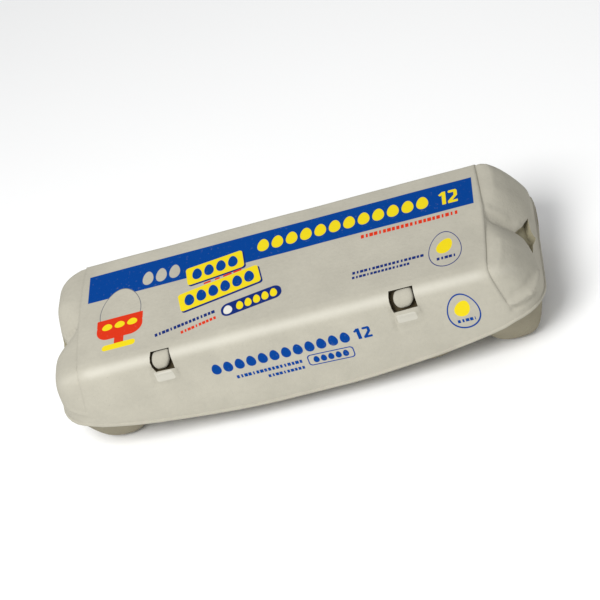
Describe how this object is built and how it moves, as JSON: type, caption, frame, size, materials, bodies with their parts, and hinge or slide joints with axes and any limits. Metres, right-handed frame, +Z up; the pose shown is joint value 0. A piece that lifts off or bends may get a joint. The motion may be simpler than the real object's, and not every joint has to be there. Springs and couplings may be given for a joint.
{
  "type": "egg carton",
  "caption": "Shut egg carton of moulded pulp with rounded lobed ends, lock buttons in the front bend, a printed lid and rounded cups that it stands on.",
  "frame": {"origin": "on the table under the middle of the carton, at the height of the cup feet", "axes": "+X along the carton, towards the end on the right as seen from the lock side; +Y towards the hinge side; +Z up"},
  "size_m": [0.3, 0.1066, 0.0687],
  "materials": {
    "tray_pulp": "matt grey moulded pulp",
    "lid_pulp": "matt warm grey moulded pulp with flexo print"
  },
  "bodies": {
    "root": {"tray": "tray_pulp", "lid": "lid_pulp", "lock_button_left": "tray_pulp", "lock_button_right": "tray_pulp"}
  },
  "joints": []
}
